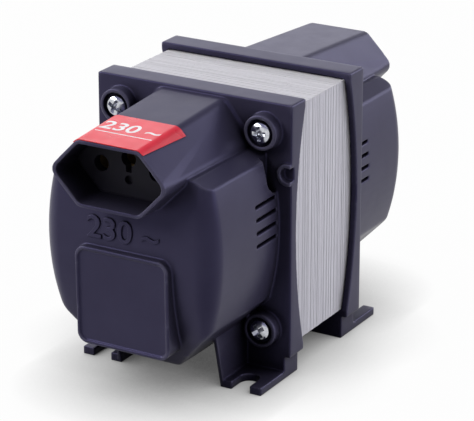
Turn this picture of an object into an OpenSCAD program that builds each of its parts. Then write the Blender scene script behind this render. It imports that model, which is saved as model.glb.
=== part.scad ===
// Two-voltage autotransformer: a laminated core clamped between two moulded end caps,
// each with a hexagonal socket nose, a swollen body, bolt bosses and two slotted feet.
// The front faces -Y, +Z is up, and the origin is on the floor under the middle of the core.

/* [Core] */
// Half the width of the middle leg, the unit that the lamination shape is built on
lam_unit = 12.7; // [12:0.1:15]
// Thickness of the stack of laminations
stack_t = 40; // [30:1:60]
// Packets of sheets, with the E's opening right and left in turn
packets = 8; // [2:2:16]
// Radius of the bolt holes in the sheets
core_hole_r = 2.25; // [2.2:0.05:2.6]

/* [Flange and skirt] */
// Gap between the core and the skirt
core_fit = 0.25; // [0.1:0.05:0.5]
// Wall of the skirt round the core
skirt_wall = 2.2; // [1.6:0.1:3]
// Thickness of the flange plate
plate_t = 2.7; // [2:0.1:4]
// Depth of the skirt at its corners, with the plate
skirt_d = 8.6; // [7:0.1:12]
// Depth of the skirt at mid height, where its edge is arched
skirt_mid_d = 3.4; // [3:0.1:6]
// Corner radius of the flange outline
flange_r = 0.6; // [0.4:0.1:3]

/* [Cap body] */
// Wall of the cap
wall = 1.8; // [1.4:0.1:2.4]
// Width over the side walls
body_w = 60; // [58:0.5:66]
// How far the body stands out of the flange
body_d = 39; // [36:0.2:46]
// Radius of the upright front corners at the fullest height
body_corner_r = 6.8; // [4:0.2:10]
// Radius that swells the front and the sides from top to bottom
bulge_r = 85; // [70:1:120]
// Fullest height of the body above the middle of the core
bulge_rise = 1.5; // [-4:0.5:4]
// Underside of the body above the flange's lower edge
body_lift = 4.3; // [3:0.1:6]
// Outer edge of the shoulder below the flange's upper edge
shoulder_drop = 17; // [14.5:0.1:17.5]
// Rise of the shoulder from its outer edge to the nose
shoulder_rise = 2.4; // [1:0.1:4]
// Radius on the outer edge of the shoulder
shoulder_r = 1.6; // [0.5:0.1:2.5]
// Width of the diagonal cut over each lower bolt
cut_w = 17; // [15:0.1:19]
// Height of the diagonal cut
cut_h = 18; // [16.5:0.1:20]

/* [Nose and socket] */
// How far the mouth of the nose stands out of the flange
mouth_d = 47.3; // [44:0.1:54]
// Width of the mouth, over the side corners
mouth_w = 41.2; // [39.5:0.1:44]
// Height of the mouth
mouth_h = 20.6; // [20:0.1:24]
// Width of the flat top at the mouth
mouth_top_w = 21.4; // [18:0.1:24]
// Width of the nose at the flange, over the side corners
root_w = 43; // [40:0.1:46]
// Width of the flat top at the flange
root_top_w = 22.6; // [20:0.1:26]
// Top of the nose at the flange, below the flange's upper edge
nose_drop = 1.2; // [0.5:0.1:3]
// Fall of the nose's top from the flange to the mouth
nose_fall = 3; // [0:0.1:4]
// Radius of the nose's edges
nose_r = 3.2; // [1:0.1:4]
// Width of the flare where the nose meets the flange
flare = 0.6; // [0.4:0.1:3]
// Wall of the nose behind the socket insert
nose_wall = 1.2; // [1:0.05:1.3]
// Wall round the floor of the socket recess
recess_wall = 1.7; // [1.6:0.05:2]
// Wall round the mouth, thinner by the draft of the recess
rim_w = 1.1; // [0.9:0.05:1.5]
// Depth of the socket recess
recess_d = 11.3; // [10:0.1:13]
// Thickness of the socket insert's face
face_t = 3; // [2:0.1:4]
// Gap round the socket insert
insert_fit = 0.15; // [0.1:0.05:0.3]
// Half the spacing of the line and neutral pins
pin_x = 9.5; // [9:0.1:10]
// Earth pin above the line and neutral pins
earth_rise = 3; // [2.5:0.1:3.5]
// Radius of the pin holes
pin_hole_r = 2.5; // [2.2:0.05:2.7]
// Width of the keyway under the earth hole
keyway_w = 1.9; // [1:0.1:2.5]
// Bottom of the keyway below the line and neutral pins
keyway_drop = 1.3; // [0.5:0.1:2]
// Radius of the pip under the keyway
pip_r = 1.4; // [0.8:0.1:1.6]
// Middle of the pip below the line and neutral pins
pip_drop = 3.6; // [3.4:0.1:4.5]
// Depth of the pip
pip_d = 1.6; // [0.5:0.1:1.8]

/* [Vents, pad and edge hole] */
// Vent slots on each side wall
vent_count = 4; // [1:1:6]
// Height of a vent slot
vent_h = 1.1; // [0.8:0.1:2]
// Length of a vent slot
vent_l = 13; // [8:0.5:20]
// Vent slots from one to the next
vent_pitch = 4.1; // [3:0.1:6]
// Middle of the vents above the middle of the core
vent_rise = 5.6; // [0:0.1:8]
// Width of the framed pad on the front
pad_w = 32.4; // [20:0.2:40]
// Height of the pad
pad_h = 31.4; // [20:0.2:33]
// Corner radius of the pad
pad_r = 3.6; // [1.5:0.1:8]
// Top edge of the pad above the middle of the core
pad_rise = 1; // [-4:0.1:3]
// How far the pad's top stands proud of the body
pad_proud = 2.4; // [0.8:0.1:3]
// Backward lean of the pad in degrees
pad_lean = 1; // [0:0.5:4]
// Width of the raised frame round the pad
pad_rim = 1.1; // [0.6:0.1:1.4]
// Depth of the panel inside the frame
pad_sink = 0.6; // [0.3:0.1:0.7]
// Radius of the round pocket at the flange's edge
pocket_r = 2.3; // [1:0.1:2.5]
// Middle of the pocket from the flange's edge
pocket_inset = 1.2; // [1:0.1:4]
// Middle of the pocket above the middle of the core
pocket_rise = 18.9; // [16:0.1:20]
// Depth of the pocket in the flange
pocket_d = 1.6; // [0.5:0.1:1.9]
// Width of the raised ring round the pocket
ring_w = 1.2; // [0.6:0.1:1.6]
// Height of the raised ring
ring_h = 1.1; // [0.4:0.1:2]
// Depth of the relief in the side wall beside the ring
relief_d = 4.7; // [4:0.1:7]
// Radius of the relief's lower corner
relief_r = 4.4; // [2:0.1:4.6]
// Inner side of the relief from the flange's side
relief_in = 8.8; // [8:0.1:9.5]
// Lower edge of the relief below the ring
relief_gap = 2.5; // [2.3:0.1:2.8]

/* [Feet] */
// Height of the flange's lower edge above the floor
foot_h = 7.4; // [6:0.1:12]
// Width of a foot
foot_w = 14.4; // [12:0.1:16]
// Foot's outer side from the flange's side
foot_inset = 2; // [1.8:0.1:4]
// Length of the foot plate in front of the flange
foot_l = 14.3; // [12:0.1:20]
// Thickness of the foot plate
foot_t = 2.5; // [2:0.1:4]
// Width of the screw slot in a foot
slot_w = 6.1; // [4:0.1:7]
// Closed end of the slot from the flange
slot_end = 5.9; // [4:0.1:7]
// Thickness of the web on a foot's inner side
web_t = 1.3; // [1:0.1:1.5]
// Forward lean of the web, in mm for each mm of height
web_lean = 0.245; // [0:0.005:0.4]

/* [Bolts] */
// Radius of a bolt's shank
bolt_r = 1.95; // [1.5:0.05:2]
// Gap round the shank in the caps
bolt_fit = 0.25; // [0.1:0.05:0.4]
// Gap between a thread and its nut or post
thread_fit = 0.05; // [0.02:0.01:0.1]
// Radius of a bolt's head
head_r = 3.5; // [3:0.1:3.8]
// Height of a bolt's head
head_h = 2.5; // [2:0.1:3.5]
// Length of one arm of the cross recess, from tip to tip
recess_cross_l = 4.4; // [3:0.1:5]
// Width of an arm of the cross recess
recess_cross_w = 0.95; // [0.6:0.05:1.4]
// Depth of the cross recess
recess_cross_d = 1.3; // [0.8:0.1:1.8]
// Radius of a boss
boss_r = 5.5; // [5.2:0.1:5.6]
// Height of a boss above the flange
boss_h = 4; // [3:0.1:6]
// Radius of the counterbore in a boss
cbore_r = 4.3; // [4.2:0.1:4.6]
// Depth of the counterbore
cbore_d = 1.7; // [1:0.1:2.5]
// Thickness of a washer
washer_t = 0.8; // [0.5:0.1:1]
// Radius of a washer
washer_r = 4; // [3.6:0.1:4.1]
// Width across the flats of a nut
nut_af = 7; // [6.5:0.1:7.2]
// Height of a nut
nut_h = 3.2; // [2.4:0.1:4]
// Bolt standing out of its nut
bolt_tip = 1.2; // [0:0.1:3]

/* [Coil] */
// Gap between the bobbin and the core
bobbin_fit = 0.3; // [0.2:0.05:0.5]
// Wall of the bobbin
bobbin_wall = 1.2; // [0.8:0.1:1.6]
// Build-up of each winding
winding_t = 3.2; // [2:0.1:3.4]
// Thickness of the barrier between the windings
barrier_t = 0.4; // [0.2:0.1:0.6]
// Thickness of the outer wrap
wrap_t = 0.5; // [0.3:0.1:0.7]
// Width of the thermal cutout
cutout_w = 14; // [8:0.5:18]
// Thickness of the thermal cutout
cutout_t = 4; // [3:0.1:5]
// Height of the thermal cutout
cutout_h = 8; // [6:0.5:12]

/* [Contacts and leads] */
// Length of a contact sleeve behind the socket face
contact_l = 12; // [8:0.5:14]
// Wall of a contact sleeve
contact_wall = 0.6; // [0.4:0.05:0.7]
// Gap between a pin hole and the sleeve's bore
contact_fit = 0.2; // [0.2:0.05:0.35]
// Thickness of a contact's tail
tail_t = 0.8; // [0.5:0.1:1.2]
// Width of a contact's tail
tail_w = 3; // [2:0.1:4]
// Tail standing out of the carrier
tail_l = 4; // [2:0.1:5]
// Thickness of the contact carrier
carrier_t = 2; // [1.5:0.1:3]
// Gap round the carrier
carrier_fit = 0.25; // [0.15:0.05:0.4]
// Carrier posts from the middle of the socket
post_x = 15; // [14.8:0.1:15.2]
// Radius of a carrier post
post_r = 1.8; // [1.5:0.1:1.9]
// Radius of a carrier screw's shank
screw_r = 0.9; // [0.6:0.1:1.1]
// Radius of a carrier screw's head
screw_head_r = 1.9; // [1.5:0.1:2]
// Height of a carrier screw's head
screw_head_h = 1.3; // [0.8:0.1:2]
// Length of a carrier screw under its head
screw_l = 7; // [5:0.5:10]
// Radius of a lead
lead_r = 0.75; // [0.5:0.05:0.9]
// Straight run at the ends of a lead
lead_run = 2.5; // [1.5:0.1:3.5]
// Gap at the ends of the leads
lead_gap = 0.2; // [0.1:0.05:0.4]

/* [Sticker] */
// Length of the sticker along the nose
sticker_l = 21; // [10:0.5:30]
// Thickness of the sticker
sticker_t = 0.25; // [0.15:0.05:0.4]
// Drop of the sticker's folded edges
sticker_fold = 1; // [0.5:0.1:5]
// Bare lip between the sticker and the mouth
sticker_lip = 0.4; // [0.2:0.1:3]

/* [Hidden] */
$fn = 64;
eps = 0.01;
through = 1;
bend_steps = 6;
lead_sides = 8;
lead_steps = 4;
// A standard EI sheet is five units wide and six high, with windows three units long
core_w = 5 * lam_unit;
core_h = 6 * lam_unit;
window_l = 3 * lam_unit;
bolt_x = 2 * lam_unit;
bolt_rise = 2.5 * lam_unit;
pocket_w = core_w + 2 * core_fit;
pocket_h = core_h + 2 * core_fit;
flange_w = pocket_w + 2 * skirt_wall;
flange_h = pocket_h + 2 * skirt_wall;
flange_top = foot_h + flange_h;
core_z = foot_h + flange_h / 2;
face_y = stack_t / 2 + plate_t;
body_bottom = foot_h + body_lift;
shoulder_z = flange_top - shoulder_drop;
bulge_z = core_z + bulge_rise;
corner_x = body_w / 2 - body_corner_r;
corner_d = body_d - body_corner_r;
root_top_z = flange_top - nose_drop;
mouth_top_z = root_top_z - nose_fall;
socket_z = mouth_top_z - mouth_h / 2;
face_d = mouth_d - recess_d;
face_back_d = face_d - face_t;
carrier_d = face_back_d - contact_l;
tail_d = carrier_d - carrier_t - tail_l;
tail_y = face_y + tail_d - lead_gap;
pocket_x = flange_w / 2 - pocket_inset;
pocket_z = core_z + pocket_rise;
relief_x = flange_w / 2 - relief_in;
relief_z = pocket_z - relief_gap - pocket_r - ring_w;
foot_x = flange_w / 2 - foot_inset - foot_w / 2;
foot_in = foot_x - foot_w / 2;
seat_d = boss_h - cbore_d;
skirt_sag = skirt_d - skirt_mid_d;
skirt_arc_r = (pow(pocket_h / 2, 2) + pow(skirt_sag, 2)) / (2 * skirt_sag);
contact_r = pin_hole_r + contact_fit;
bobbin_t = bobbin_fit + bobbin_wall;
barrier_in = bobbin_t + winding_t;
series_in = barrier_in + barrier_t;
wrap_in = series_in + winding_t;
coil_t = wrap_in + wrap_t;
bobbin_l = window_l - 2 * bobbin_fit;
winding_l = bobbin_l - 2 * bobbin_wall;
coil_front = stack_t / 2 + coil_t;
lead_z = core_z + 2 * lam_unit - lead_r - lead_gap;
tap_z = core_z + lam_unit;
plastic = "#2b2a33";

// Points of an arc of radius r that rounds the corner b between a and c
function unit(v) = v / norm(v);
function bend(a, b, c, r) =
    let (u = unit(a - b), w = unit(c - b), half = acos(u * w) / 2)
    let (mid = b + unit(u + w) * r / sin(half))
    let (from = b + u * r / tan(half) - mid, to = b + w * r / tan(half) - mid)
    let (start = atan2(from.y, from.x), turn = atan2(to.y, to.x) - start)
    let (step = (turn > 180 ? turn - 360 : turn < -180 ? turn + 360 : turn) / bend_steps)
    [for (i = [0:bend_steps]) mid + r * [cos(start + step * i), sin(start + step * i)]];
function rounded(points, r) =
    let (n = len(points))
    [for (i = [0:n - 1]) each bend(points[(i + n - 1) % n], points[i], points[(i + 1) % n], r)];

// Outline of the nose at a share t of the way from the flange to the mouth, moved in by inset
function nose_outline(t, inset, spread = 0) =
    let (side = (root_w * (1 - t) + mouth_w * t) / 2 + spread)
    let (flat = (root_top_w * (1 - t) + mouth_top_w * t) / 2 + spread)
    let (top = root_top_z - nose_fall * t - socket_z, low = mouth_h / 2)
    let (slope_up = atan2(top, side - flat), slope_low = atan2(low, side - flat))
    let (tip = side - inset / sin((slope_up + slope_low) / 2))
    let (high = flat - inset * tan(45 - slope_up / 2), deep = flat - inset * tan(45 - slope_low / 2))
    let (up = [high, socket_z + top - inset], down = [deep, socket_z - low + inset])
    rounded([[tip, socket_z], up, [-up.x, up.y], [-tip, socket_z], [-down.x, down.y], down],
        max(nose_r - inset / 2, nose_r / 2));

// Lays an XZ outline out from the front flange, from depth d0 to depth d1
module outward(d0, d1) {
    translate([0, -face_y - d0, 0])
        rotate([90, 0, 0])
            linear_extrude(d1 - d0) children();
}

// Lays a YZ outline along X, with the outline's X running out from the front flange
module crosswise(x0, x1) {
    translate([x1, -face_y, 0])
        rotate([90, 0, -90])
            linear_extrude(x1 - x0) children();
}

// Rectangle with true round corners
module slab(w, h, r) {
    square([w - 2 * r, h], center = true);
    square([w, h - 2 * r], center = true);
    for (x = [-1, 1], y = [-1, 1])
        translate([x * (w / 2 - r), y * (h / 2 - r)]) circle(r);
}

module at_bolts(sides = [-1, 1], levels = [-1, 1]) {
    for (x = sides, z = levels)
        translate([x * bolt_x, core_z + z * bolt_rise]) children();
}

// Section of the body across X and Z: sloped shoulders above, diagonal cuts over the lower bolts
module body_section(inset) {
    half = body_w / 2;
    run = norm([cut_w, cut_h]);
    edge_z = shoulder_z - inset;
    reach = sqrt(pow(bulge_r - inset, 2) - pow(edge_z - bulge_z, 2));
    low = [half - cut_w - inset * (run - cut_w) / cut_h, body_bottom + inset];
    cut = [half, body_bottom + cut_h + inset * run / cut_w];
    edge = [half - bulge_r + reach, edge_z];
    flank = [edge.x + pow(edge_z - bulge_z, 2) / reach, bulge_z];
    peak = [root_w / 2, edge_z + shoulder_rise];
    side = concat([low, cut, flank], bend(flank, edge, peak, shoulder_r), [peak]);
    polygon(concat(side, [for (i = [len(side) - 1:-1:0]) [-side[i].x, side[i].y]]));
}

// Sides swollen by the bulge radius, which also sweeps round the front corners
module bulged_sides(inset, back) {
    r = bulge_r - inset;
    outward(-back, body_d) translate([-corner_x, 0]) square([2 * corner_x, flange_top]);
    outward(-back, corner_d) intersection_for (x = [-1, 1])
        translate([x * (body_w / 2 - bulge_r), bulge_z]) circle(r, $fn = 160);
    for (x = [-1, 1])
        translate([x * corner_x, -face_y - corner_d, bulge_z]) rotate_extrude() intersection() {
            translate([body_corner_r - bulge_r, 0]) circle(r, $fn = 160);
            translate([0, -flange_h / 2]) square([body_corner_r, flange_h]);
        }
}

// The body, moved in by inset and carried back past the flange's face
module body_form(inset, back) {
    intersection() {
        outward(-back, body_d) body_section(inset);
        bulged_sides(inset, back);
        translate([0, -face_y - body_d + bulge_r, bulge_z]) rotate([0, 90, 0])
            cylinder(r = bulge_r - inset, h = body_w, center = true, $fn = 160);
    }
}

// The nose as a loft from the flange's outline to the mouth's, stopped at depth d1
module nose_form(inset, d1) {
    hull() {
        outward(0, eps) polygon(nose_outline(0, inset));
        outward(d1 - eps, d1) polygon(nose_outline(d1 / mouth_d, inset));
    }
}

// Recess in the nose, opening out from the socket face to the mouth
module socket_recess() {
    hull() {
        outward(face_d - eps, face_d) polygon(nose_outline(1, recess_wall));
        outward(mouth_d, mouth_d + through) polygon(nose_outline(1, rim_w));
    }
}

// Short skirt that widens the nose where it meets the flange
module nose_flare() {
    hull() {
        outward(0, eps) polygon(nose_outline(0, 0, flare));
        outward(2 * flare, 2 * flare + eps) polygon(nose_outline(2 * flare / mouth_d, 0));
    }
}

// Pad that leans back a little, with a panel sunk inside its frame
module framed_pad() {
    depth = body_d / 2;
    translate([0, -face_y - body_d - pad_proud, core_z + pad_rise])
        rotate([90 + pad_lean, 0, 0])
            translate([0, -pad_h / 2, -depth]) difference() {
                linear_extrude(depth) slab(pad_w, pad_h, pad_r);
                translate([0, 0, depth - pad_sink]) linear_extrude(pad_sink + through)
                    slab(pad_w - 2 * pad_rim, pad_h - 2 * pad_rim, pad_r - pad_rim);
            }
}

// Foot: upright under the flange, slotted plate and inner web
module foot() {
    translate([foot_in, -face_y, 0])
        cube([foot_w, skirt_d, foot_h + eps]);
    difference() {
        translate([foot_in, -face_y - foot_l, 0])
            cube([foot_w, foot_l + eps, foot_t]);
        translate([foot_x - slot_w / 2, -face_y - foot_l - through, -through])
            cube([slot_w, foot_l - slot_end - slot_w / 2 + through, foot_t + 2 * through]);
        translate([foot_x, -face_y - slot_end - slot_w / 2, -through])
            cylinder(d = slot_w, h = foot_t + 2 * through);
    }
    web_top = body_bottom + cut_h * (foot_in + web_t - body_w / 2 + cut_w) / cut_w + wall / 2;
    crosswise(foot_in, foot_in + web_t)
        polygon([[0, 0], [foot_l, 0], [foot_l + web_lean * web_top, web_top], [0, web_top]]);
}

// Relief in the side wall beside the ring, as a cutter and, grown by a wall, as a keep-out
module relief(grow) {
    low = relief_z - grow;
    deep = relief_d + grow;
    crosswise(relief_x - grow, flange_w / 2 + through) {
        translate([-plate_t - through, low + relief_r]) square([deep + plate_t + through, flange_top]);
        translate([-plate_t - through, low]) square([deep - relief_r + plate_t + through, flange_top]);
        translate([deep - relief_r, low + relief_r]) circle(relief_r);
    }
}

module flange() {
    difference() {
        outward(-skirt_d, 0)
            translate([0, core_z]) slab(flange_w, flange_h, flange_r);
        outward(-skirt_d - through, -plate_t)
            translate([0, core_z]) square([pocket_w, pocket_h], center = true);
        translate([0, -face_y + skirt_mid_d + skirt_arc_r, core_z])
            rotate([0, 90, 0])
                cylinder(r = skirt_arc_r, h = flange_w + 2 * through, center = true, $fn = 180);
    }
}

module edge_ring() {
    intersection() {
        outward(-eps, ring_h)
            translate([pocket_x, pocket_z]) circle(pocket_r + ring_w);
        outward(-eps, ring_h)
            translate([0, core_z]) slab(flange_w, flange_h, flange_r);
    }
}

module vents() {
    span = body_w / 2 - 2 * wall;
    for (i = [0:vent_count - 1], side = [-1, 1]) {
        z = core_z + vent_rise + (i - (vent_count - 1) / 2) * vent_pitch;
        translate([side > 0 ? span : -span - 3 * wall, -face_y - vent_l, z - vent_h / 2])
            cube([3 * wall, vent_l - through, vent_h]);
    }
}

// The relief only cuts what stands in front of the flange, beside the boss above it
module relief_cut() {
    difference() {
        intersection() {
            relief(0);
            outward(0, body_d) translate([0, core_z]) square([flange_w, flange_h], center = true);
        }
        outward(-eps, boss_h) at_bolts() circle(boss_r);
        edge_ring();
    }
}

// One end cap, drawn at the front
module cap() {
    difference() {
        union() {
            flange();
            body_form(0, eps);
            nose_form(0, mouth_d);
            nose_flare();
            framed_pad();
            outward(-eps, boss_h) at_bolts() circle(boss_r);
            edge_ring();
            foot();
            mirror([1, 0, 0]) foot();
        }
        difference() {
            union() {
                body_form(wall, plate_t + through);
                nose_form(nose_wall, face_d);
            }
            relief(wall);
        }
        relief_cut();
        socket_recess();
        vents();
        outward(-skirt_d, boss_h + through) at_bolts() circle(bolt_r + bolt_fit);
        outward(seat_d, boss_h + through) at_bolts() circle(cbore_r);
        outward(-pocket_d, ring_h + through)
            translate([pocket_x, pocket_z]) circle(pocket_r);
    }
}

// Holes of the socket: line and neutral, earth with its keyway
module pin_holes() {
    for (x = [-1, 1]) translate([x * pin_x, socket_z]) circle(pin_hole_r);
    translate([0, socket_z + earth_rise]) circle(pin_hole_r);
    translate([-keyway_w / 2, socket_z - keyway_drop]) square([keyway_w, earth_rise + keyway_drop]);
}

module at_posts() {
    for (x = [-1, 1]) translate([x * post_x, socket_z]) children();
}

// Face of a socket, pressed on the ledge behind the recess, with two posts for the carrier
module socket_insert() {
    color(plastic) difference() {
        union() {
            outward(face_back_d, face_d) polygon(nose_outline(face_d / mouth_d, nose_wall + insert_fit));
            outward(carrier_d, face_back_d + eps) at_posts() circle(post_r);
        }
        outward(face_back_d - through, face_d + through) pin_holes();
        outward(face_d - pip_d, face_d + through) translate([0, socket_z - pip_drop]) circle(pip_r);
        outward(carrier_d - through, carrier_d + screw_l) at_posts() circle(screw_r + thread_fit);
    }
}

module rear() {
    rotate([0, 0, 180]) children();
}

module front_cap() {
    color(plastic) cap();
}

module rear_cap() {
    color(plastic) rear() cap();
}

// Packets of the stack, each drawn flat with its E or I shape and turned over in turn
module packet_stack() {
    packet_t = stack_t / packets;
    for (i = [0:packets - 1])
        translate([0, stack_t / 2 - i * packet_t, core_z])
            rotate([90, 0, 0])
                mirror([i % 2, 0, 0])
                    linear_extrude(packet_t) children();
}

module sheet_holes() {
    for (x = [-1, 1], z = [-1, 1])
        translate([x * bolt_x, z * bolt_rise]) circle(core_hole_r);
}

module e_laminations() {
    color("silver") packet_stack() difference() {
        translate([-core_w / 2, -core_h / 2]) square([core_w - lam_unit, core_h]);
        for (z = [-2, 1])
            translate([-window_l / 2, z * lam_unit]) square([window_l + through, lam_unit]);
        sheet_holes();
    }
}

module i_laminations() {
    color("silver") packet_stack() difference() {
        translate([window_l / 2, -core_h / 2]) square([lam_unit, core_h]);
        sheet_holes();
    }
}

// Ring round the middle leg, from t0 to t1 off the leg, of length l along X
module coil_ring(t0, t1, l) {
    translate([l / 2, 0, core_z])
        rotate([90, 0, -90])
            linear_extrude(l) difference() {
                slab(stack_t + 2 * t1, 2 * (lam_unit + t1), t1);
                slab(stack_t + 2 * t0, 2 * (lam_unit + t0), t0);
            }
}

module bobbin() {
    color("ivory") {
        coil_ring(bobbin_fit, bobbin_t, bobbin_l);
        for (x = [-1, 1])
            translate([x * (bobbin_l - bobbin_wall) / 2, 0, 0])
                coil_ring(bobbin_fit, coil_t, bobbin_wall);
    }
}

module common_winding() {
    color("peru") coil_ring(bobbin_t, barrier_in, winding_l);
}

module winding_barrier() {
    color("khaki") coil_ring(barrier_in, series_in, winding_l);
}

module series_winding() {
    color("chocolate") coil_ring(series_in, wrap_in, winding_l);
}

module outer_wrap() {
    color("gold") coil_ring(wrap_in, coil_t, winding_l);
}

// Bimetal cutout lying on the front coil head, under the line contact
module thermal_cutout() {
    corner_r = cutout_t / 4;
    color("dimgray")
        translate([pin_x - cutout_w / 2, -coil_front, tap_z])
            rotate([90, 0, 0])
                linear_extrude(cutout_t)
                    translate([cutout_w / 2, -cutout_h / 2]) slab(cutout_w, cutout_h, corner_r);
}

// Contact: a sleeve behind the socket face with a floor and a solder tail
module contact(x, rise) {
    color("goldenrod") translate([x, 0, socket_z + rise]) {
        difference() {
            outward(carrier_d, face_back_d) circle(contact_r + contact_wall);
            outward(carrier_d + tail_t, face_back_d + through) circle(contact_r);
        }
        outward(tail_d, carrier_d + eps) square([tail_w, tail_t], center = true);
    }
}

module tail_hole() {
    square([tail_w + 2 * carrier_fit, tail_t + 2 * carrier_fit], center = true);
}

// Plate that holds the contacts against the insert, with a slot for each tail
module contact_carrier() {
    share = (carrier_d - carrier_t) / mouth_d;
    color("whitesmoke") outward(carrier_d - carrier_t, carrier_d) difference() {
        polygon(nose_outline(share, nose_wall + carrier_fit + nose_fall * carrier_t / mouth_d));
        at_posts() circle(screw_r + carrier_fit);
        for (x = [-1, 1]) translate([x * pin_x, socket_z]) tail_hole();
        translate([0, socket_z + earth_rise]) tail_hole();
    }
}

module carrier_screws() {
    under_head_d = carrier_d - carrier_t;
    color("silver") {
        outward(under_head_d - screw_head_h, under_head_d) at_posts() circle(screw_head_r);
        outward(under_head_d - eps, under_head_d + screw_l) at_posts() circle(screw_r);
    }
}

module front_socket_insert() {
    socket_insert();
}

module front_line_contact() {
    contact(pin_x, 0);
}

module front_neutral_contact() {
    contact(-pin_x, 0);
}

module front_earth_contact() {
    contact(0, earth_rise);
}

module front_contact_carrier() {
    contact_carrier();
}

module front_carrier_screws() {
    carrier_screws();
}

module rear_socket_insert() {
    rear() socket_insert();
}

module rear_line_contact() {
    rear() contact(-pin_x, 0);
}

module rear_neutral_contact() {
    rear() contact(pin_x, 0);
}

module rear_earth_contact() {
    rear() contact(0, earth_rise);
}

module rear_contact_carrier() {
    rear() contact_carrier();
}

module rear_carrier_screws() {
    rear() carrier_screws();
}

// Points of a smooth curve through the points of a route
function smooth(p) = [for (i = [0:len(p) - 2], k = [0:lead_steps - 1])
    let (t = k / lead_steps, a = p[max(i - 1, 0)], b = p[i], c = p[i + 1], d = p[min(i + 2, len(p) - 1)])
    let (slope = c - a, sway = 2 * a - 5 * b + 4 * c - d, twist = 3 * b - a - 3 * c + d)
    b + (slope * t + sway * pow(t, 2) + twist * pow(t, 3)) / 2];
function route(p) = concat(smooth(p), [p[len(p) - 1]]);

// Tube along a route of [y, z] points in the plane at x
module lead(x, points, tint) {
    path = route(points);
    n = len(path);
    rings = [for (i = [0:n - 1])
        let (along = unit(path[min(i + 1, n - 1)] - path[max(i - 1, 0)]))
        for (k = [0:lead_sides - 1])
            let (a = 360 * k / lead_sides)
            let (side = lead_r * cos(a), lift = lead_r * sin(a))
            [x + side, path[i].x - along.y * lift, path[i].y + along.x * lift]];
    sides = [for (i = [0:n - 2], k = [0:lead_sides - 1])
        let (a = i * lead_sides + k, b = i * lead_sides + (k + 1) % lead_sides)
        each [[a, a + lead_sides, b], [b, a + lead_sides, b + lead_sides]]];
    first = [[for (k = [0:lead_sides - 1]) k]];
    last = [[for (k = [0:lead_sides - 1]) n * lead_sides - 1 - k]];
    color(tint) polyhedron(rings, concat(sides, first, last));
}

module front_line_lead() {
    terminal_y = -coil_front - cutout_t / 2;
    terminal_z = tap_z + lead_gap;
    lead(pin_x, [[-tail_y, socket_z], [-tail_y + lead_run, socket_z],
        [terminal_y, terminal_z + lead_run], [terminal_y, terminal_z]], "firebrick");
}

module rear_line_lead() {
    lead(pin_x, [[tail_y, socket_z], [tail_y - lead_run, socket_z],
        [coil_front + lead_run, tap_z + lead_run], [coil_front + lead_r + lead_gap, tap_z]], "saddlebrown");
}

// Leads from the front socket to the rear one, through the gap over the coil
module through_lead(x, rise, tint) {
    end_z = socket_z + rise;
    bend_y = stack_t / 2 + 2 * lead_run;
    lead(x, [[-tail_y, end_z], [-tail_y + lead_run, end_z], [-bend_y, lead_z], [-stack_t / 2, lead_z],
        [stack_t / 2, lead_z], [bend_y, lead_z], [tail_y - lead_run, end_z], [tail_y, end_z]], tint);
}

module neutral_lead() {
    through_lead(-pin_x, 0, "royalblue");
}

module earth_lead() {
    through_lead(0, earth_rise, "green");
}

// Bolt with a domed head and a cross recess, seated in the front bosses
module bolt() {
    dome_r = (pow(head_r, 2) + pow(head_h / 2, 2)) / head_h;
    reach = 2 * (face_y + seat_d) + washer_t + nut_h + bolt_tip;
    difference() {
        intersection() {
            cylinder(r = head_r, h = head_h);
            translate([0, 0, head_h - dome_r]) sphere(dome_r);
        }
        for (a = [0, 90])
            rotate([0, 0, a + 45])
                translate([-recess_cross_l / 2, -recess_cross_w / 2, head_h - recess_cross_d])
                    cube([recess_cross_l, recess_cross_w, recess_cross_d + through]);
    }
    translate([0, 0, -reach]) cylinder(r = bolt_r, h = reach + eps);
}

// Places children in a corner's counterbore, with Z pointing out of the cap
module at_seats() {
    for (x = [-1, 1], z = [-1, 1])
        translate([x * bolt_x, -face_y - seat_d, core_z + z * bolt_rise])
            rotate([90, 0, 0]) children();
}

module through_bolts() {
    color("gainsboro") at_seats() bolt();
}

module bolt_washers() {
    color("silver") rear() at_seats() difference() {
        cylinder(r = washer_r, h = washer_t);
        translate([0, 0, -through]) cylinder(r = bolt_r + bolt_fit, h = washer_t + 2 * through);
    }
}

module bolt_nuts() {
    color("silver") rear() at_seats() translate([0, 0, washer_t]) difference() {
        cylinder(d = nut_af / cos(30), h = nut_h, $fn = 6);
        translate([0, 0, -through]) cylinder(r = bolt_r + thread_fit, h = nut_h + 2 * through);
    }
}

// Thin sticker over the top of the front nose, folded over both upper edges
module front_sticker() {
    front_d = mouth_d - sticker_lip;
    color("crimson") intersection() {
        difference() {
            nose_form(-sticker_t, mouth_d);
            nose_form(0, mouth_d);
        }
        translate([-mouth_w / 2, -face_y - front_d, mouth_top_z - sticker_fold])
            cube([mouth_w, sticker_l, mouth_h]);
    }
}

front_cap();
rear_cap();
e_laminations();
i_laminations();
bobbin();
common_winding();
winding_barrier();
series_winding();
outer_wrap();
thermal_cutout();
front_socket_insert();
front_line_contact();
front_neutral_contact();
front_earth_contact();
front_contact_carrier();
front_carrier_screws();
rear_socket_insert();
rear_line_contact();
rear_neutral_contact();
rear_earth_contact();
rear_contact_carrier();
rear_carrier_screws();
front_line_lead();
rear_line_lead();
neutral_lead();
earth_lead();
through_bolts();
bolt_washers();
bolt_nuts();
front_sticker();
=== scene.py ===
import math
import random
import bpy
import bmesh
import numpy
from mathutils import Matrix, Vector


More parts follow.
